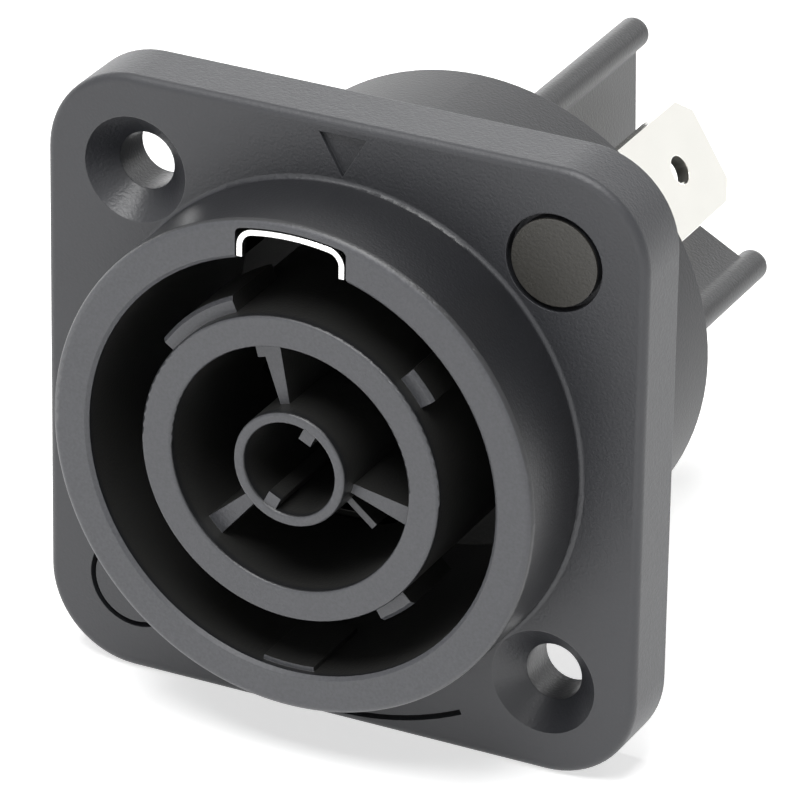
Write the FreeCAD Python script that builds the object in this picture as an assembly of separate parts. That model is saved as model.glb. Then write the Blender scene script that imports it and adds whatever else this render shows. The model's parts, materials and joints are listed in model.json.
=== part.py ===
"""Panel mount power connector: a locking three-pole socket on a square flange.

Millimetres. The origin is on the socket axis at the flange's back face, the face that meets the panel.
The socket opens towards -Y, the terminals point to +Y, and +Z is up, towards the latch slot.
Angles are counted from +X towards +Z, which is counter-clockwise for someone who looks into the socket.
"""
import FreeCAD, Part
import math
import os

V = FreeCAD.Vector
AXIS = V(0, 1, 0)
TURN_AXIS = V(0, -1, 0)
ORIGIN = V(0, 0, 0)

# Flange
FLANGE_SIDE = 34.4
FLANGE_THICKNESS = 3.8
FLANGE_CORNER_R = 5.0
FLANGE_EDGE_R = 0.45
SCREW_SPACING = 24.0
SCREW_HOLE_D = 3.2
COUNTERSINK_D = 5.9
COUNTERSINK_ANGLE = 90.0
SCREW_CORNERS = ((-1, 1), (1, -1))
FIELD_CORNERS = ((1, 1), (-1, -1))
FIELD_D = 4.8
FIELD_GROOVE_WIDTH = 0.3
ARROW_WIDTH = 2.7
ARROW_HEIGHT = 2.3
ARROW_EDGE_GAP = 0.75
ARROW_DEPTH = 0.25
ARC_GROOVE_SPAN = (270.5, 296.0)
ARC_GROOVE_GAP = 2.7
ARC_GROOVE_WIDTH = 0.3
GROOVE_DEPTH = 0.8

# Collar, bore and barrel
BORE_D = 23.4
COLLAR_WALL = 2.1
COLLAR_HEIGHT = 5.75
COLLAR_EDGE_R = 0.4
COLLAR_FOOT_R = 0.25
MOUTH_CHAMFER = 0.2
BORE_KEY_SPAN = (262.0, 276.5)
BORE_KEY_HEIGHT = 0.25
BORE_KEY_SETBACK = 0.55
BORE_KEY_LENGTH = 5.0
BARREL_WALL = 2.0
BARREL_LENGTH = 12.5
BARREL_CHAMFER = 0.3

# Seat of the contact carrier in the barrel
SEAT_STEP = 0.7
SEAT_CLEARANCE = 0.05
BASE_THICKNESS = 5.0
SNAP_HEIGHT = 0.25
SNAP_WIDTH = 1.0
KEY_ANGLES = (90.0, 210.0, 330.0)
KEY_WIDTH = 2.2
KEY_HEIGHT = 0.55
KEY_LENGTH = 2.0

# Latch slot and its liner
LATCH_WIDTH = 6.1
LATCH_ROOF = 1.55
LATCH_DEPTH = 10.0
SLOT_CORNER_R = 0.35
LINER_BEND_R = 1.0
LINER_THICKNESS = 0.3
LINER_HEIGHT = 1.8
LINER_CLEARANCE = 0.1

# Tower, guide tube and ribs of the contact carrier
TOWER_D = 17.1
TOWER_WALL = 1.73
TUBE_D = 6.4
TUBE_WALL = 0.6
RIM_EDGE_R = 0.18
FIRST_RIB_ANGLE = 105.0
RIB_SETBACK = 1.2
RIB_OUTER_WIDTH = 1.25
RIB_INNER_WIDTH = 0.5
RIB_STEP_WIDTH = 0.3
RIB_STEP_HEIGHT = 1.0
RIB_STEP_LENGTH = 4.0
FIN_ANGLE = 320.5
FIN_SETBACK = 2.1
FIN_REACH = 1.9
FIN_THICKNESS = 0.4
LUG_SPANS = ((114.0, 146.0), (34.3, 46.3), (302.7, 316.3))
LUG_HEIGHT = 0.85
LUG_SETBACK = 0.9
LUG_LENGTH = 4.5
LUG_CHAMFER = 0.2
TUBE_KEY_ANGLES = (64.0, 244.0)
TUBE_KEY_WIDTH = 0.75
TUBE_KEY_HEIGHT = 0.7
TUBE_KEY_SETBACK = 0.15

# Barrier behind the base
FIRST_WALL_ANGLE = 91.5
BARRIER_LENGTH = 20.2
BARRIER_THICKNESS = 1.3
BARRIER_INNER_R = 1.0
BEAD_PITCH_R = 8.45
BEAD_D = 1.8
BEAD_END_R = 0.45
BEAD_FOOT_R = 0.3
WALL_SETBACK = 1.45

# Contacts
POLES = ("line_contact", "neutral_contact", "earth_contact")
STRIP_THICKNESS = 0.8
TAB_WIDTH = 6.3
TAB_SETBACK = 0.5
TAB_CHAMFER_WIDTH = 1.2
TAB_CHAMFER_LENGTH = 1.5
TAB_HOLE_D = 1.65
TAB_HOLE_FROM_TIP = 4.25
SHOULDER_STEP = 0.45
SHOULDER_LENGTH = 1.4
BLADE_WIDTH = 5.2
BLADE_RECESS = 8.3
BLADE_CORNER = 0.8
EARTH_LEAD = 2.0
EDGE_BEVEL = 0.25
SLOT_CLEARANCE = 0.06
CHAMBER_CLEARANCE = 0.15
LANCE_WIDTH = 1.6
LANCE_LENGTH = 3.0
LANCE_THICKNESS = 0.45
LANCE_RISE = 0.8
LANCE_GAP = 0.06

# Depth by which a feature runs into the piece that carries it, or a cutter past a face
BITE = 0.3

# Values that follow from the sizes above
BORE_R = BORE_D / 2
COLLAR_R = BORE_R + COLLAR_WALL
BARREL_R = BORE_R + BARREL_WALL
SEAT_R = BORE_R + SEAT_STEP
BASE_R = SEAT_R - SEAT_CLEARANCE
FLANGE_FRONT = -FLANGE_THICKNESS
SOCKET_FRONT = FLANGE_FRONT - COLLAR_HEIGHT
SEAT_Y = BARREL_LENGTH - BASE_THICKNESS
TOWER_R = TOWER_D / 2
TOWER_BORE_R = TOWER_R - TOWER_WALL
TUBE_R = TUBE_D / 2
TUBE_BORE_R = TUBE_R - TUBE_WALL
POLE_STEP = 360.0 / len(POLES)
RIB_ANGLES = [FIRST_RIB_ANGLE + POLE_STEP * pole for pole in range(len(POLES))]
BARRIER_ANGLES = [FIRST_WALL_ANGLE + POLE_STEP * pole for pole in range(len(POLES))]
CONTACT_ANGLES = [angle - POLE_STEP / 2 for angle in BARRIER_ANGLES]
BEAD_END = BARREL_LENGTH + BARRIER_LENGTH
TAB_TIP = BEAD_END - TAB_SETBACK
SHOULDER_WIDTH = TAB_WIDTH + 2 * SHOULDER_STEP
STRIP_OUTER_R = math.sqrt((TOWER_BORE_R - CHAMBER_CLEARANCE) ** 2 - (SHOULDER_WIDTH / 2) ** 2)
STRIP_INNER_R = STRIP_OUTER_R - STRIP_THICKNESS


def turned(shape, angle):
    """A copy of a shape that was made towards +X, turned to an angle of the socket."""
    copy = shape.copy()
    copy.rotate(ORIGIN, TURN_AXIS, angle)
    return copy


def rod(radius, start, end, x=0.0, z=0.0):
    """A round bar along the socket axis."""
    return Part.makeCylinder(radius, end - start, V(x, start, z), AXIS)


def block(x_span, y_span, z_span):
    """A box between two corners."""
    size = [span[1] - span[0] for span in (x_span, y_span, z_span)]
    return Part.makeBox(*size, V(x_span[0], y_span[0], z_span[0]))


def polygon(points):
    """A flat face with straight sides."""
    return Part.Face(Part.makePolygon(list(points) + [points[0]]))


def revolved(profile, start_angle=0.0, end_angle=360.0):
    """A turn of (radius, y) points about the socket axis, from one angle to another."""
    face = polygon([V(radius, y, 0) for radius, y in profile])
    return turned(face, start_angle).revolve(ORIGIN, TURN_AXIS, end_angle - start_angle)


def arc_band(inner_r, outer_r, start, end, span):
    """A band of rectangular section round the socket axis, between the two angles of its span."""
    return revolved([(inner_r, start), (outer_r, start), (outer_r, end), (inner_r, end)], *span)


def edges_at(shape, y):
    """The edges that lie in the plane across the axis at y."""
    return [edge for edge in shape.Edges
            if abs(edge.BoundBox.YMin - y) < 1e-6 and abs(edge.BoundBox.YMax - y) < 1e-6]


def edges_along_axis(shape):
    """The straight edges that run along the socket axis."""
    return [edge for edge in shape.Edges
            if edge.BoundBox.XLength < 1e-6 and edge.BoundBox.ZLength < 1e-6]


def sleeve(outer_r, inner_r, start, end, edge_r):
    """A tube with rounded edges at its start."""
    tube = rod(outer_r, start, end).cut(rod(inner_r, start, end))
    return tube.makeFillet(min(edge_r, (outer_r - inner_r) / 3), edges_at(tube, start))


def rounded_square(side, corner_r, start, end):
    """A square plate with round corners."""
    half = side / 2
    plate = block((-half, half), (start, end), (-half, half))
    return plate.makeFillet(corner_r, edges_along_axis(plate))


def countersunk_hole(x, z):
    """The cutter of a screw hole: the shank's hole and the cone for the head."""
    hole_r = SCREW_HOLE_D / 2
    head_r = COUNTERSINK_D / 2
    cone_height = (head_r - hole_r) / math.tan(math.radians(COUNTERSINK_ANGLE / 2))
    hole = rod(hole_r, FLANGE_FRONT, BITE, x, z)
    cone = Part.makeCone(head_r, hole_r, cone_height, V(x, FLANGE_FRONT, z), AXIS)
    mouth = rod(head_r, FLANGE_FRONT - BITE, FLANGE_FRONT, x, z)
    return hole.fuse([cone, mouth])


def field_groove(x, z):
    """The cutter of the ring groove round a bare round field."""
    floor = FLANGE_FRONT + GROOVE_DEPTH
    outer = rod(FIELD_D / 2 + FIELD_GROOVE_WIDTH, FLANGE_FRONT - BITE, floor, x, z)
    return outer.cut(rod(FIELD_D / 2, FLANGE_FRONT - BITE, floor, x, z))


def arrow_recess():
    """The cutter of the arrow that points at the latch slot."""
    top = FLANGE_SIDE / 2 - ARROW_EDGE_GAP
    half = ARROW_WIDTH / 2
    front = FLANGE_FRONT - BITE
    face = polygon([V(-half, front, top), V(half, front, top), V(0, front, top - ARROW_HEIGHT)])
    return face.extrude(AXIS * (BITE + ARROW_DEPTH))


def arc_groove():
    """The cutter of the plain arc groove under the collar."""
    inner_r = COLLAR_R + ARC_GROOVE_GAP
    outer_r = inner_r + ARC_GROOVE_WIDTH
    return arc_band(inner_r, outer_r, FLANGE_FRONT - BITE, FLANGE_FRONT + GROOVE_DEPTH, ARC_GROOVE_SPAN)


def socket_cavity():
    """The cutter of the bore, its mouth, the carrier's seat and its snap groove."""
    groove_r = SEAT_R + SNAP_HEIGHT
    groove_start = SEAT_Y + (BASE_THICKNESS - SNAP_WIDTH) / 2 - SEAT_CLEARANCE
    groove_end = groove_start + SNAP_WIDTH + 2 * SEAT_CLEARANCE
    return revolved([
        (0, SOCKET_FRONT - BITE),
        (BORE_R + MOUTH_CHAMFER + BITE, SOCKET_FRONT - BITE),
        (BORE_R, SOCKET_FRONT + MOUTH_CHAMFER),
        (BORE_R, SEAT_Y),
        (SEAT_R, SEAT_Y),
        (SEAT_R, groove_start),
        (groove_r, groove_start + SNAP_HEIGHT),
        (groove_r, groove_end - SNAP_HEIGHT),
        (SEAT_R, groove_end),
        (SEAT_R, BARREL_LENGTH + BITE),
        (0, BARREL_LENGTH + BITE),
    ])


def bore_key():
    """The low rib on the bore's floor, across from the latch slot."""
    front = SOCKET_FRONT + BORE_KEY_SETBACK
    return arc_band(
        BORE_R - BORE_KEY_HEIGHT, BORE_R + COLLAR_WALL / 2, front, front + BORE_KEY_LENGTH, BORE_KEY_SPAN)


def latch_block(width, roof_r, corner_r, foot_z, end):
    """A block with an arched roof and two round top corners, from the socket's front to end."""
    half = width / 2
    body = block((-half, half), (SOCKET_FRONT, end), (foot_z, roof_r + BITE))
    body = body.common(rod(roof_r, SOCKET_FRONT, end))
    corner_z = math.sqrt(roof_r ** 2 - half ** 2)
    corners = [edge for edge in edges_along_axis(body) if abs(edge.BoundBox.ZMin - corner_z) < 1e-6]
    return body.makeFillet(corner_r, corners)


def latch_slot():
    """The cutter of the latch slot, which opens into the bore."""
    return latch_block(
        LATCH_WIDTH + 2 * LINER_CLEARANCE, BORE_R + LATCH_ROOF + LINER_CLEARANCE,
        SLOT_CORNER_R, BORE_R - LATCH_WIDTH / 2, SOCKET_FRONT + LATCH_DEPTH)


def latch_liner():
    """The bent strip that lines the latch slot and stands on the slot's end wall."""
    end = SOCKET_FRONT + LATCH_DEPTH
    roof_r = BORE_R + LATCH_ROOF
    foot_z = roof_r - LINER_HEIGHT
    outer = latch_block(LATCH_WIDTH, roof_r, LINER_BEND_R, foot_z, end)
    inner = latch_block(
        LATCH_WIDTH - 2 * LINER_THICKNESS, roof_r - LINER_THICKNESS,
        LINER_BEND_R - LINER_THICKNESS, foot_z - BITE, end)
    return outer.cut(inner)


def rim_key(clearance):
    """A key on the base's rim, at angle 0, or its keyway with a clearance all round."""
    half = KEY_WIDTH / 2 + clearance
    start = BARREL_LENGTH - KEY_LENGTH - clearance
    return block((BASE_R - BITE, SEAT_R + KEY_HEIGHT + clearance), (start, BARREL_LENGTH), (-half, half))


def housing():
    """Flange, collar and barrel in one moulding."""
    plate = rounded_square(FLANGE_SIDE, FLANGE_CORNER_R, FLANGE_FRONT, 0)
    plate = plate.makeFillet(min(FLANGE_EDGE_R, FLANGE_THICKNESS / 3), edges_at(plate, FLANGE_FRONT))
    collar = rod(COLLAR_R, SOCKET_FRONT, FLANGE_FRONT + BITE)
    collar = collar.makeFillet(min(COLLAR_EDGE_R, COLLAR_WALL / 3), edges_at(collar, SOCKET_FRONT))
    barrel = rod(BARREL_R, -BITE, BARREL_LENGTH)
    barrel = barrel.makeChamfer(BARREL_CHAMFER, edges_at(barrel, BARREL_LENGTH))
    body = plate.fuse([collar, barrel]).removeSplitter()
    foot = [edge for edge in edges_at(body, FLANGE_FRONT) if abs(edge.BoundBox.XMax - COLLAR_R) < 1e-3]
    body = body.makeFillet(COLLAR_FOOT_R, foot)
    half = SCREW_SPACING / 2
    cutters = [socket_cavity(), latch_slot(), arrow_recess(), arc_groove()]
    cutters += [countersunk_hole(sx * half, sz * half) for sx, sz in SCREW_CORNERS]
    cutters += [field_groove(sx * half, sz * half) for sx, sz in FIELD_CORNERS]
    cutters += [turned(rim_key(SEAT_CLEARANCE), angle) for angle in KEY_ANGLES]
    return body.cut(cutters).fuse(bore_key()).removeSplitter()


def carrier_base():
    """The disc that seats in the barrel, with its snap bead and keys."""
    bead_start = SEAT_Y + (BASE_THICKNESS - SNAP_WIDTH) / 2
    bead_end = bead_start + SNAP_WIDTH
    bead_r = BASE_R + SNAP_HEIGHT
    disc = revolved([
        (0, SEAT_Y),
        (BASE_R, SEAT_Y),
        (BASE_R, bead_start),
        (bead_r, bead_start + SNAP_HEIGHT),
        (bead_r, bead_end - SNAP_HEIGHT),
        (BASE_R, bead_end),
        (BASE_R, BARREL_LENGTH),
        (0, BARREL_LENGTH),
    ])
    return disc.fuse([turned(rim_key(0), angle) for angle in KEY_ANGLES])


def rib():
    """A wedge between guide tube and tower, at angle 0."""
    inner_r = TUBE_R - TUBE_WALL / 2
    outer_r = TOWER_BORE_R + TOWER_WALL / 2
    front = SOCKET_FRONT + RIB_SETBACK
    face = polygon([
        V(inner_r, front, -RIB_INNER_WIDTH / 2),
        V(outer_r, front, -RIB_OUTER_WIDTH / 2),
        V(outer_r, front, RIB_OUTER_WIDTH / 2),
        V(inner_r, front, RIB_INNER_WIDTH / 2),
    ])
    return face.extrude(AXIS * (SEAT_Y + BITE - front))


def rib_step():
    """The step on the flank of a rib, against the tower's inner wall, for a rib at angle 0."""
    front = SOCKET_FRONT + RIB_SETBACK
    return block(
        (TOWER_BORE_R - RIB_STEP_HEIGHT, TOWER_BORE_R + TOWER_WALL / 2),
        (front, front + RIB_STEP_LENGTH), (0, RIB_OUTER_WIDTH / 2 + RIB_STEP_WIDTH))


def fin():
    """The short fin on the guide tube's outer wall, at angle 0."""
    half = FIN_THICKNESS / 2
    return block(
        (TUBE_R - TUBE_WALL / 2, TUBE_R + FIN_REACH),
        (SOCKET_FRONT + FIN_SETBACK, SEAT_Y + BITE), (-half, half))


def lug(start_angle, end_angle):
    """A locking lug on the tower's outer wall, with a lead-in on its front edge."""
    foot_r = TOWER_R - TOWER_WALL / 2
    top_r = TOWER_R + LUG_HEIGHT
    front = SOCKET_FRONT + LUG_SETBACK
    back = front + LUG_LENGTH
    return revolved([
        (foot_r, front),
        (top_r - LUG_CHAMFER, front),
        (top_r, front + LUG_CHAMFER),
        (top_r, back),
        (foot_r, back),
    ], start_angle, end_angle)


def tube_key():
    """A key inside the guide tube, at angle 0."""
    half = TUBE_KEY_WIDTH / 2
    front = SOCKET_FRONT + TUBE_KEY_SETBACK
    return block(
        (TUBE_BORE_R - TUBE_KEY_HEIGHT, TUBE_R - TUBE_WALL / 2), (front, SEAT_Y + BITE), (-half, half))


def bead_foot(side, y):
    """The hollow arc from a barrier wall's flank, at z above or below 0 by its side, to the bead."""
    flank = BARRIER_THICKNESS / 2
    reach = BEAD_D / 2 + BEAD_FOOT_R
    drop = flank + BEAD_FOOT_R
    bead_centre = V(BEAD_PITCH_R, y, 0)
    centre = V(BEAD_PITCH_R - math.sqrt(reach ** 2 - drop ** 2), y, side * drop)
    to_bead = (bead_centre - centre).normalize() * BEAD_FOOT_R
    to_flank = V(0, 0, -side * BEAD_FOOT_R)
    middle = (to_bead + to_flank).normalize() * BEAD_FOOT_R
    return Part.Arc(centre + to_flank, centre + middle, centre + to_bead)


def barrier_wall(start, end):
    """A wall of the barrier at angle 0, which widens into its bead."""
    half = BARRIER_THICKNESS / 2
    upper, lower = bead_foot(1, start), bead_foot(-1, start)
    outline = [
        Part.LineSegment(V(0, start, -half), V(0, start, half)),
        Part.LineSegment(V(0, start, half), upper.StartPoint),
        upper,
        Part.LineSegment(upper.EndPoint, lower.EndPoint),
        lower,
        Part.LineSegment(lower.StartPoint, V(0, start, -half)),
    ]
    face = Part.Face(Part.Wire([line.toShape() for line in outline]))
    return face.extrude(AXIS * (end - start))


def barrier():
    """Three walls that keep the terminals apart, each with a round bead at its edge."""
    span = (BARREL_LENGTH - BITE, BEAD_END - WALL_SETBACK)
    walls = [turned(barrier_wall(*span), angle) for angle in BARRIER_ANGLES]
    star = walls[0].fuse(walls[1:]).removeSplitter()
    inner_corners = [edge for edge in edges_along_axis(star)
                     if math.hypot(edge.BoundBox.XMin, edge.BoundBox.ZMin) < BARRIER_THICKNESS]
    star = star.makeFillet(BARRIER_INNER_R, inner_corners)
    bead = rod(BEAD_D / 2, span[0], BEAD_END, BEAD_PITCH_R)
    bead = bead.makeFillet(min(BEAD_END_R, BEAD_D / 3), edges_at(bead, BEAD_END))
    return star.fuse([turned(bead, angle) for angle in BARRIER_ANGLES])


def contact_slot():
    """The cutter of the slot that a contact passes through, at angle 0."""
    half = TAB_WIDTH / 2 + SLOT_CLEARANCE
    return block(
        (STRIP_INNER_R - SLOT_CLEARANCE, STRIP_OUTER_R + SLOT_CLEARANCE),
        (SEAT_Y - BITE, BARREL_LENGTH + BITE), (-half, half))


def contact_carrier():
    """Base, tower, guide tube and rear barrier in one moulding."""
    tower = sleeve(TOWER_R, TOWER_BORE_R, SOCKET_FRONT, SEAT_Y + BITE, RIM_EDGE_R)
    tube = sleeve(TUBE_R, TUBE_BORE_R, SOCKET_FRONT, SEAT_Y + BITE, RIM_EDGE_R)
    features = [tower, tube, barrier()]
    features += [turned(rib(), angle) for angle in RIB_ANGLES]
    features += [turned(rib_step(), FIRST_RIB_ANGLE), turned(fin(), FIN_ANGLE)]
    features += [lug(start, end) for start, end in LUG_SPANS]
    features += [turned(tube_key(), angle) for angle in TUBE_KEY_ANGLES]
    body = carrier_base().fuse(features).removeSplitter()
    return body.cut([turned(contact_slot(), angle) for angle in CONTACT_ANGLES])


def strip_outline(blade_front):
    """The flat pattern of a contact, as half of its (width, y) points from the front to the back."""
    return [
        (BLADE_WIDTH / 2 - BLADE_CORNER, blade_front),
        (BLADE_WIDTH / 2, blade_front + BLADE_CORNER),
        (BLADE_WIDTH / 2, SEAT_Y - SHOULDER_LENGTH),
        (SHOULDER_WIDTH / 2, SEAT_Y - SHOULDER_LENGTH),
        (SHOULDER_WIDTH / 2, SEAT_Y),
        (TAB_WIDTH / 2, SEAT_Y),
        (TAB_WIDTH / 2, TAB_TIP - TAB_CHAMFER_LENGTH),
        (TAB_WIDTH / 2 - TAB_CHAMFER_WIDTH, TAB_TIP),
    ]


def lance():
    """The tongue that is cut out of the strip and bent up, so that it locks behind the base."""
    free_end = BARREL_LENGTH + LANCE_GAP
    root = free_end + LANCE_LENGTH + BITE
    middle = (STRIP_INNER_R + STRIP_OUTER_R - LANCE_THICKNESS) / 2
    face = polygon([
        V(middle, root, -LANCE_WIDTH / 2),
        V(middle + LANCE_THICKNESS, root, -LANCE_WIDTH / 2),
        V(middle + LANCE_THICKNESS + LANCE_RISE, free_end, -LANCE_WIDTH / 2),
        V(middle + LANCE_RISE, free_end, -LANCE_WIDTH / 2),
    ])
    return face.extrude(V(0, 0, LANCE_WIDTH))


def lance_window():
    """The cutter of the window that the lance leaves in the strip."""
    half = LANCE_WIDTH / 2 + SLOT_CLEARANCE
    start = BARREL_LENGTH + LANCE_GAP
    return block((STRIP_INNER_R - BITE, STRIP_OUTER_R + BITE), (start, start + LANCE_LENGTH), (-half, half))


def contact(angle, blade_front):
    """One stamped contact, from its blade in the chamber to its tab behind the barrier's bay."""
    half = strip_outline(blade_front)
    pattern = half + [(-width, y) for width, y in reversed(half)]
    strip = polygon([V(STRIP_INNER_R, y, width) for width, y in pattern]).extrude(V(STRIP_THICKNESS, 0, 0))
    tips = edges_at(strip, blade_front) + edges_at(strip, TAB_TIP)
    ends = [edge for edge in tips if edge.BoundBox.XLength < 1e-6]
    strip = strip.makeChamfer(min(EDGE_BEVEL, STRIP_THICKNESS / 3), ends)
    hole_start = V(STRIP_INNER_R - BITE, TAB_TIP - TAB_HOLE_FROM_TIP, 0)
    hole = Part.makeCylinder(TAB_HOLE_D / 2, STRIP_THICKNESS + 2 * BITE, hole_start, V(1, 0, 0))
    strip = strip.cut([hole, lance_window()]).fuse(lance()).removeSplitter()
    return turned(strip, angle)


def build():
    """Every piece of the connector by its node name."""
    pieces = {
        "housing": housing(),
        "contact_carrier": contact_carrier(),
        "latch_liner": latch_liner(),
    }
    blade_front = SOCKET_FRONT + BLADE_RECESS
    for name, angle in zip(POLES, CONTACT_ANGLES):
        lead = EARTH_LEAD if name == "earth_contact" else 0.0
        pieces[name] = contact(angle, blade_front - lead)
    return pieces


os.makedirs("parts", exist_ok=True)
for node, shape in build().items():
    shape.exportStep(os.path.join("parts", node + ".step"))
    print(node, len(shape.Solids), shape.isValid(), round(shape.Volume, 2))
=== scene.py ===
"""The looks of a panel mount power connector: its finishes, its floor, its light and its camera.

Metres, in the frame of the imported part: the socket opens towards -Y, the terminals point to +Y
and +Z is up.
"""
import json
import math

import bmesh
import bpy
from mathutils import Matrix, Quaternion, Vector


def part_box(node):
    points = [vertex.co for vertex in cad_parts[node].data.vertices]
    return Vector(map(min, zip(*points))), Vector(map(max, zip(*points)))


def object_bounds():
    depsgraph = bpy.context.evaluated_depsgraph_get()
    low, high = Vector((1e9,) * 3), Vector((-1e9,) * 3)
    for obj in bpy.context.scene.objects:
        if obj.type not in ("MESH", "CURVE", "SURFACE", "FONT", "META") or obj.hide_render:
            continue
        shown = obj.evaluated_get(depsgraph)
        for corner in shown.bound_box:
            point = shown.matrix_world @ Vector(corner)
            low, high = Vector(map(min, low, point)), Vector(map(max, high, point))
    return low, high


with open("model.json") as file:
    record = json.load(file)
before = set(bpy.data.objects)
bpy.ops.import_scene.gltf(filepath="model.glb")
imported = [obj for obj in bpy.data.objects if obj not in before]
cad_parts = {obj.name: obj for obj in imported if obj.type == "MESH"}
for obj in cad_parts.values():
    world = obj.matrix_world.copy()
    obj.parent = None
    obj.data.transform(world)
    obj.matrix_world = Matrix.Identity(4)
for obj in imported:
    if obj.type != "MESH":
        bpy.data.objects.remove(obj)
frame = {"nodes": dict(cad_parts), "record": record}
cad_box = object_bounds()

MM = 0.001

# Depths along the socket axis at which the finishes, their painted highlight and their painted
# shade change
SOCKET_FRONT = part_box("contact_carrier")[0].y
FLANGE_FRONT = -3.8 * MM
PANEL_FACE = 0.0
RIM_END = SOCKET_FRONT + 2.2 * MM
CORE_END = 12.0 * MM
FIELD_FLOOR, FIELD_FACE = FLANGE_FRONT + 0.2 * MM, FLANGE_FRONT + 0.1 * MM
CONTACT_SHADED_AT, CONTACT_UNSHADED_AT = 6.0 * MM, 7.0 * MM
LINER_SHADED_AT, LINER_UNSHADED_AT = SOCKET_FRONT + 0.6 * MM, SOCKET_FRONT + 0.3 * MM
FADE = 0.3 * MM
CORE_FADE = 1.0 * MM

# Round places on the flange and in the socket
SOCKET_AXIS = Vector((0.0, 0.0, 0.0))
INSIDE_RADIUS = 13.3 * MM
SCREW_CENTRES = (Vector((-12.0 * MM, 0.0, 12.0 * MM)), Vector((12.0 * MM, 0.0, -12.0 * MM)))
CONE_RADIUS = 2.95 * MM
FIELD_CENTRE = Vector((12.0 * MM, 0.0, 12.0 * MM))
FIELD_RADIUS = 2.4 * MM
ROUND_SOFTNESS = 0.05 * MM

# Shares of a face's normal along the socket axis: below the first it begins to count as a wall,
# and below the second it fully does
WALL_STARTS, WALL_FULL = 0.7, 0.5

# Colours, as the share of light that they give back
HOUSING_GREY = (0.023, 0.024, 0.028, 1.0)
CARRIER_GREY = (0.028, 0.029, 0.032, 1.0)
# Painted highlight: the lighter grey of the front faces of the collar and tower rims
PAINTED_LIGHT_RIM_GREY = (0.056, 0.0575, 0.064, 1.0)
# Painted shade: the near-black of the walls deep in the socket, where little light reaches
SOCKET_PAINTED_SHADE_BLACK = (0.026, 0.026, 0.025, 1.0)
FIELD_BROWN = (0.034, 0.032, 0.027, 1.0)
TIN = (0.93, 0.92, 0.87, 1.0)
STEEL = (0.86, 0.86, 0.85, 1.0)
# Painted shade: the dark of the contacts and the liner deep in the socket
STRIP_PAINTED_SHADE = (0.02, 0.02, 0.019, 1.0)
FLOOR_WHITE = (0.85, 0.85, 0.85, 1.0)
WHITE = (1.0, 1.0, 1.0, 1.0)

# How far the colours vary, as shares of themselves
CLOUD_DARK, CLOUD_LIGHT = 0.88, 1.12
GRAIN_DARK, GRAIN_LIGHT = 0.6, 1.4
# Painted shade: the share by which the walls along the axis, on the collar and behind the panel
# face, are darkened
WALL_PAINTED_SHADE = 0.5
STRIP_DARK = 0.93

# How rough the finishes are
HOUSING_ROUGHNESS, BARREL_ROUGHNESS = 0.5, 0.57
CARRIER_ROUGHNESS, BARRIER_ROUGHNESS = 0.46, 0.46
POLISHED_ROUGHNESS = 0.38
TIN_ROUGHNESS, STEEL_ROUGHNESS = 0.22, 0.2
FLOOR_ROUGHNESS = 0.9
GRAIN_SPREAD, ROLLING_SPREAD = 0.06, 0.05
PLASTIC_GLOSS, FLOOR_GLOSS = 0.6, 0.0

# Grain and relief of the finishes
CLOUD_SIZE, CLOUD_DETAIL = 2.6 * MM, 5.0
FINE_DETAIL = 3.0
SPARK_GRAIN, SPARK_DEPTH = 0.16 * MM, 0.02 * MM
ROLLING_GRAIN, ROLLING_DEPTH = 0.09 * MM, 0.002 * MM
EVEN, ROLLED = (1.0, 1.0, 1.0), (1.0, 0.05, 1.0)
EDGE_ROUNDING, ROUNDING_SAMPLES = 0.06 * MM, 6

# The photograph's camera, its angles in degrees
CAMERA_AZIMUTH = 26.139
CAMERA_ELEVATION = 26.2
CAMERA_ROLL = 0.932
CAMERA_DISTANCE = 374.06 * MM
CAMERA_LENS = 327.1
NEAREST_SEEN = CAMERA_DISTANCE / 10
VIEW_CENTRE = Vector((3.461 * MM, -3.757 * MM, 2.307 * MM))

# The lamps: azimuth and elevation, width and height as angles, and brightness
LAMPS = {
    "top_lamp": (0.0, 76.0, 34.0, 45.0, 8.2),
    "back_lamp": (-172.0, 10.0, 45.0, 20.0, 4.0),
    "back_left_lamp": (-127.0, 10.0, 45.0, 20.0, 2.0),
    "front_lamp": (-10.0, 10.0, 60.0, 20.0, 1.2),
}
LAMP_DISTANCE = 0.6

# The room and the floor: the light on the part, and how white they look to the eye and in gloss
ROOM_LIGHT, ROOM_WHITE = 0.1, 1.0
FLOOR_SIDE = 6.0
FLOOR_GAP = 0.05 * MM
FLOOR_TO_EYE, FLOOR_IN_GLOSS = 0.62, 1.0


def shade(colour, share):
    """A colour that gives back more or less light."""
    return tuple(share * part for part in colour[:3]) + (1.0,)


def feed(tree, node, inputs):
    """Sets inputs of a node to values, or links them from other nodes."""
    for socket, value in inputs.items():
        if isinstance(value, bpy.types.NodeSocket):
            tree.links.new(value, node.inputs[socket])
        else:
            node.inputs[socket].default_value = value


def add_node(tree, kind, inputs=None, **settings):
    """A new node with its settings and inputs."""
    node = tree.nodes.new(kind)
    for name, value in settings.items():
        setattr(node, name, value)
    feed(tree, node, inputs or {})
    return node


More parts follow.
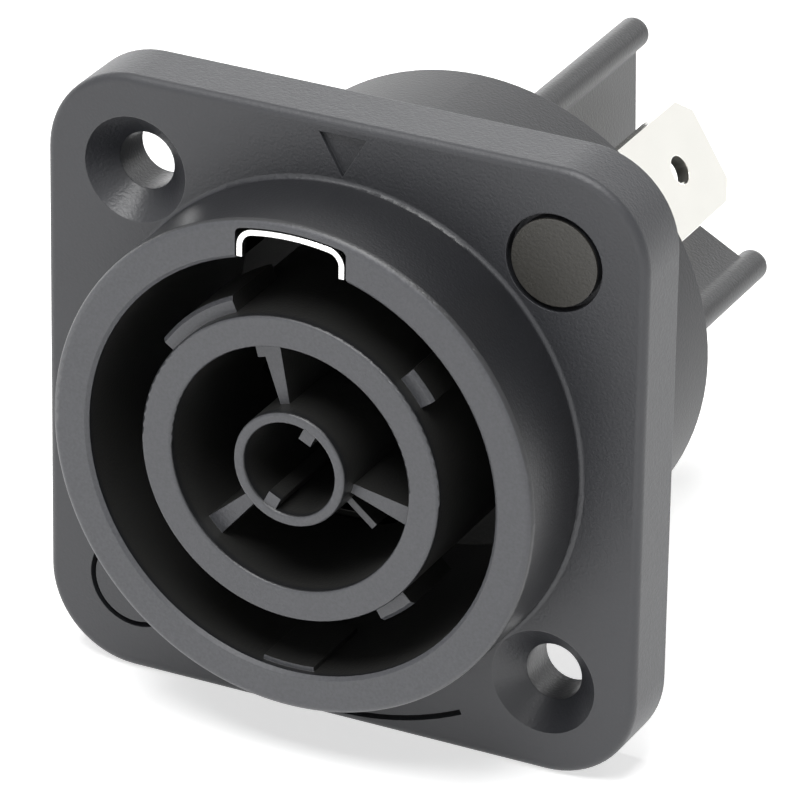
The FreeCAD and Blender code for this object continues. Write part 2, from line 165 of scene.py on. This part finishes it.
class Finish:
    """A material in the making: its node tree, its shader and the part's own coordinates."""

    def __init__(self, name):
        self.material = bpy.data.materials.new(name)
        self.material.use_nodes = True
        self.tree = self.material.node_tree
        self.shader = self.tree.nodes["Principled BSDF"]
        self.place = self.node("ShaderNodeTexCoord").outputs["Object"]

    def node(self, kind, inputs=None, **settings):
        """A new node of this finish."""
        return add_node(self.tree, kind, inputs, **settings)

    def noise(self, size, stretch=EVEN, detail=FINE_DETAIL):
        """Noise with patches of about one size, longer along an axis where stretch is below 1."""
        mapping = self.node("ShaderNodeMapping", {"Vector": self.place, "Scale": stretch})
        inputs = {"Vector": mapping.outputs["Vector"], "Scale": 1.0 / size, "Detail": detail}
        return self.node("ShaderNodeTexNoise", inputs).outputs["Fac"]

    def ramp(self, value, start, end, low=0.0, high=1.0):
        """A value that goes from low to high as the given one goes from start to end."""
        inputs = {
            "Value": value, "From Min": start, "From Max": end, "To Min": low, "To Max": high}
        return self.node("ShaderNodeMapRange", inputs).outputs["Result"]

    def spread(self, mask, low, high):
        """A mask's 0 to 1 as low to high."""
        return self.ramp(mask, 0.0, 1.0, low, high)

    def math(self, operation, *values):
        """A step of arithmetic on one or two masks."""
        inputs = dict(enumerate(values))
        return self.node("ShaderNodeMath", inputs, operation=operation).outputs["Value"]

    def both(self, first, second):
        """Where two masks overlap."""
        return self.math("MULTIPLY", first, second)

    def either(self, first, second):
        """Where at least one of two masks lies."""
        return self.math("MAXIMUM", first, second)

    def mixed(self, mask, first, second):
        """The first colour where the mask is 0, the second where it is 1."""
        # The colour sockets share their names with others, so they go by number
        inputs = {0: mask, 6: first, 7: second}
        return self.node("ShaderNodeMix", inputs, data_type="RGBA").outputs[2]

    def along(self, vector):
        """How far a vector reaches along the socket axis."""
        return self.node("ShaderNodeSeparateXYZ", {"Vector": vector}).outputs["Y"]

    def within(self, centre, radius):
        """A mask of what lies closer than radius to a line along the socket axis."""
        flat = self.node(
            "ShaderNodeVectorMath", {0: self.place, 1: (1.0, 0.0, 1.0)}, operation="MULTIPLY")
        distance = self.node(
            "ShaderNodeVectorMath",
            {0: flat.outputs["Vector"], 1: (centre.x, 0.0, centre.z)}, operation="DISTANCE")
        return self.ramp(distance.outputs["Value"], radius + ROUND_SOFTNESS, radius)

    def walls(self):
        """A mask of the faces that run along the socket axis."""
        normal = self.node("ShaderNodeNewGeometry").outputs["Normal"]
        return self.ramp(self.math("ABSOLUTE", self.along(normal)), WALL_STARTS, WALL_FULL)

    def relief(self, height, depth):
        """A normal with rounded edges and a relief of the given depth."""
        rounded = self.node(
            "ShaderNodeBevel", {"Radius": EDGE_ROUNDING}, samples=ROUNDING_SAMPLES)
        inputs = {"Height": height, "Distance": depth, "Normal": rounded.outputs["Normal"]}
        return self.node("ShaderNodeBump", inputs).outputs["Normal"]

    def paint(self, inputs):
        """Sets or links the shader's own sockets and gives the material."""
        feed(self.tree, self.shader, inputs)
        return self.material


def moulded_plastic(name, grey, roughness, rear_roughness, cones=()):
    """Spark-eroded plastic with cloudy colour, smoother where the mould's cores were drawn out,
    with a painted highlight on the front rims and painted shade on the outer walls and in the
    socket.
    """
    finish = Finish(name)
    clouds = finish.noise(CLOUD_SIZE, detail=CLOUD_DETAIL)
    grain = finish.noise(SPARK_GRAIN)
    depth = finish.along(finish.place)
    walls = finish.walls()
    colour = finish.mixed(clouds, shade(grey, CLOUD_DARK), shade(grey, CLOUD_LIGHT))

    # Painted highlight: faces across the axis near the socket's mouth get a lighter grey, varied by
    # the grain
    painted_light_rims = finish.both(finish.ramp(depth, RIM_END + FADE, RIM_END), finish.spread(walls, 1.0, 0.0))
    painted_light_rim_grey = finish.mixed(grain, shade(PAINTED_LIGHT_RIM_GREY, GRAIN_DARK), shade(PAINTED_LIGHT_RIM_GREY, GRAIN_LIGHT))
    colour = finish.mixed(painted_light_rims, colour, painted_light_rim_grey)

    collar_walls = finish.both(walls, finish.ramp(depth, FLANGE_FRONT, FLANGE_FRONT - FADE))
    rear_walls = finish.both(walls, finish.ramp(depth, PANEL_FACE, PANEL_FACE + FADE))
    painted_shade_walls = finish.either(collar_walls, rear_walls)
    # Painted shade: these walls get a darker copy of the grey
    colour = finish.mixed(painted_shade_walls, colour, shade(grey, WALL_PAINTED_SHADE))

    # Painted shade in the socket: its walls below the rim, and everything below the panel face,
    # turn near-black; the same places are also made smoother
    below_rim = finish.ramp(depth, SOCKET_FRONT + FADE, SOCKET_FRONT + 2 * FADE)
    deep = finish.ramp(depth, PANEL_FACE - CORE_FADE, PANEL_FACE)
    inside = finish.both(
        finish.within(SOCKET_AXIS, INSIDE_RADIUS),
        finish.ramp(depth, CORE_END, CORE_END - CORE_FADE))
    polished_and_shaded = finish.both(inside, finish.either(finish.both(below_rim, walls), deep))
    colour = finish.mixed(polished_and_shaded, colour, SOCKET_PAINTED_SHADE_BLACK)

    smooth = finish.either(collar_walls, polished_and_shaded)
    in_flange = finish.ramp(depth, PANEL_FACE, PANEL_FACE - FADE)
    for centre in cones:
        cone = finish.both(in_flange, finish.within(centre, CONE_RADIUS))
        smooth = finish.either(smooth, cone)
    grained = finish.spread(grain, roughness - GRAIN_SPREAD, roughness + GRAIN_SPREAD)
    grained = finish.spread(rear_walls, grained, rear_roughness)
    finish.paint({
        "Base Color": colour,
        "Roughness": finish.spread(smooth, grained, POLISHED_ROUGHNESS),
        "Specular IOR Level": PLASTIC_GLOSS,
        "Normal": finish.relief(grain, SPARK_DEPTH),
    })
    return finish, colour


def housing_plastic():
    """The housing's dark grey, with the brownish round field in its upper right corner."""
    finish, colour = moulded_plastic(
        "housing_plastic", HOUSING_GREY, HOUSING_ROUGHNESS, BARREL_ROUGHNESS, SCREW_CENTRES)
    depth = finish.along(finish.place)
    field = finish.both(
        finish.within(FIELD_CENTRE, FIELD_RADIUS), finish.ramp(depth, FIELD_FLOOR, FIELD_FACE))
    return finish.paint({"Base Color": finish.mixed(field, colour, FIELD_BROWN)})


def carrier_plastic():
    """The contact carrier's satin grey."""
    finish, _ = moulded_plastic(
        "carrier_plastic", CARRIER_GREY, CARRIER_ROUGHNESS, BARRIER_ROUGHNESS)
    return finish.material


def rolled_metal(name, colour, roughness, shaded_at, unshaded_at):
    """Strip with rolling marks along the socket axis, with painted shade deep in the socket and its
    own bright colour outside it.
    """
    finish = Finish(name)
    marks = finish.noise(ROLLING_GRAIN, ROLLED)
    bright = finish.mixed(finish.noise(CLOUD_SIZE), shade(colour, STRIP_DARK), colour)
    # Painted shade: the strip turns dark deep in the socket and keeps its own colour outside it
    outside = finish.ramp(finish.along(finish.place), shaded_at, unshaded_at)
    return finish.paint({
        "Base Color": finish.mixed(outside, STRIP_PAINTED_SHADE, bright),
        "Metallic": 1.0,
        "Roughness": finish.spread(marks, roughness - ROLLING_SPREAD, roughness + ROLLING_SPREAD),
        "Normal": finish.relief(marks, ROLLING_DEPTH),
    })


def dress_nodes():
    """Gives every piece of the connector its finish."""
    finishes = {
        "housing_plastic": housing_plastic(),
        "carrier_plastic": carrier_plastic(),
        "plated_contact": rolled_metal(
            "plated_contact", TIN, TIN_ROUGHNESS, CONTACT_SHADED_AT, CONTACT_UNSHADED_AT),
        "liner_steel": rolled_metal(
            "liner_steel", STEEL, STEEL_ROUGHNESS, LINER_SHADED_AT, LINER_UNSHADED_AT),
    }
    slots = {row["node"]: row["material_slot"] for row in frame["record"]["subparts"]}
    for name, node in frame["nodes"].items():
        node.data.materials.clear()
        node.data.materials.append(finishes[slots[name]])


def seen_directly(tree):
    """1 for rays from the camera, from gloss and through glass, 0 for light on the part."""
    rays = add_node(tree, "ShaderNodeLightPath").outputs
    seen = rays["Is Camera Ray"]
    for name in ("Is Glossy Ray", "Is Transmission Ray"):
        larger = add_node(tree, "ShaderNodeMath", {0: seen, 1: rays[name]}, operation="MAXIMUM")
        seen = larger.outputs["Value"]
    return seen


def white_room():
    """A world that looks white and lights the part softly."""
    world = bpy.data.worlds.new("white_room")
    world.use_nodes = True
    tree = world.node_tree
    level = add_node(
        tree, "ShaderNodeMapRange",
        {"Value": seen_directly(tree), "To Min": ROOM_LIGHT, "To Max": ROOM_WHITE})
    background = {"Color": WHITE, "Strength": level.outputs["Result"]}
    feed(tree, tree.nodes["Background"], background)
    bpy.context.scene.world = world


def floor_white():
    """The floor's pale finish, which looks white to the eye and in gloss."""
    material = bpy.data.materials.new("floor_white")
    material.use_nodes = True
    tree = material.node_tree
    to_eye = add_node(tree, "ShaderNodeLightPath").outputs["Is Camera Ray"]
    level = add_node(
        tree, "ShaderNodeMapRange",
        {"Value": to_eye, "To Min": FLOOR_IN_GLOSS, "To Max": FLOOR_TO_EYE})
    glow = add_node(
        tree, "ShaderNodeMath",
        {0: seen_directly(tree), 1: level.outputs["Result"]}, operation="MULTIPLY")
    feed(tree, tree.nodes["Principled BSDF"], {
        "Base Color": FLOOR_WHITE,
        "Roughness": FLOOR_ROUGHNESS,
        "Specular IOR Level": FLOOR_GLOSS,
        "Emission Color": WHITE,
        "Emission Strength": glow.outputs["Value"],
    })
    return material


def pale_floor():
    """A floor just under the flange, which keeps the part's shadow."""
    mesh = bpy.data.meshes.new("floor")
    shape = bmesh.new()
    bmesh.ops.create_grid(shape, x_segments=1, y_segments=1, size=FLOOR_SIDE / 2)
    bmesh.ops.translate(shape, vec=(0.0, 0.0, cad_box[0].z - FLOOR_GAP), verts=shape.verts)
    shape.to_mesh(mesh)
    shape.free()
    mesh.materials.append(floor_white())
    floor = bpy.data.objects.new("floor", mesh)
    bpy.context.collection.objects.link(floor)


def direction(azimuth, elevation):
    """The direction from the part towards a place round it, in degrees as the camera's."""
    turn, rise = math.radians(azimuth), math.radians(elevation)
    level = math.cos(rise)
    return Vector((math.sin(turn) * level, -math.cos(turn) * level, math.sin(rise)))


def place_facing_part(thing, way, distance):
    """Puts a lamp or the camera at a distance from the view's centre and turns it to look there."""
    thing.location = VIEW_CENTRE + way * distance
    thing.rotation_mode = "QUATERNION"
    thing.rotation_quaternion = (-way).to_track_quat("-Z", "Y")
    bpy.context.collection.objects.link(thing)


def soft_lamps():
    """Softboxes round the part."""
    for name, (azimuth, elevation, width, height, brightness) in LAMPS.items():
        lamp = bpy.data.lights.new(name, "AREA")
        lamp.shape = "RECTANGLE"
        lamp.size = 2.0 * LAMP_DISTANCE * math.tan(math.radians(width / 2.0))
        lamp.size_y = 2.0 * LAMP_DISTANCE * math.tan(math.radians(height / 2.0))
        lamp.energy = math.pi * brightness * lamp.size * lamp.size_y
        softbox = bpy.data.objects.new(name, lamp)
        place_facing_part(softbox, direction(azimuth, elevation), LAMP_DISTANCE)


def photograph_camera():
    """The camera at the photograph's angle."""
    lens = bpy.data.cameras.new("camera")
    lens.lens = CAMERA_LENS
    lens.clip_start = NEAREST_SEEN
    camera = bpy.data.objects.new("camera", lens)
    place_facing_part(camera, direction(CAMERA_AZIMUTH, CAMERA_ELEVATION), CAMERA_DISTANCE)
    camera.rotation_quaternion @= Quaternion((0.0, 0.0, 1.0), math.radians(CAMERA_ROLL))
    bpy.context.scene.camera = camera


bpy.context.scene.view_settings.view_transform = "Standard"
dress_nodes()
white_room()
pale_floor()
soft_lamps()
photograph_camera()
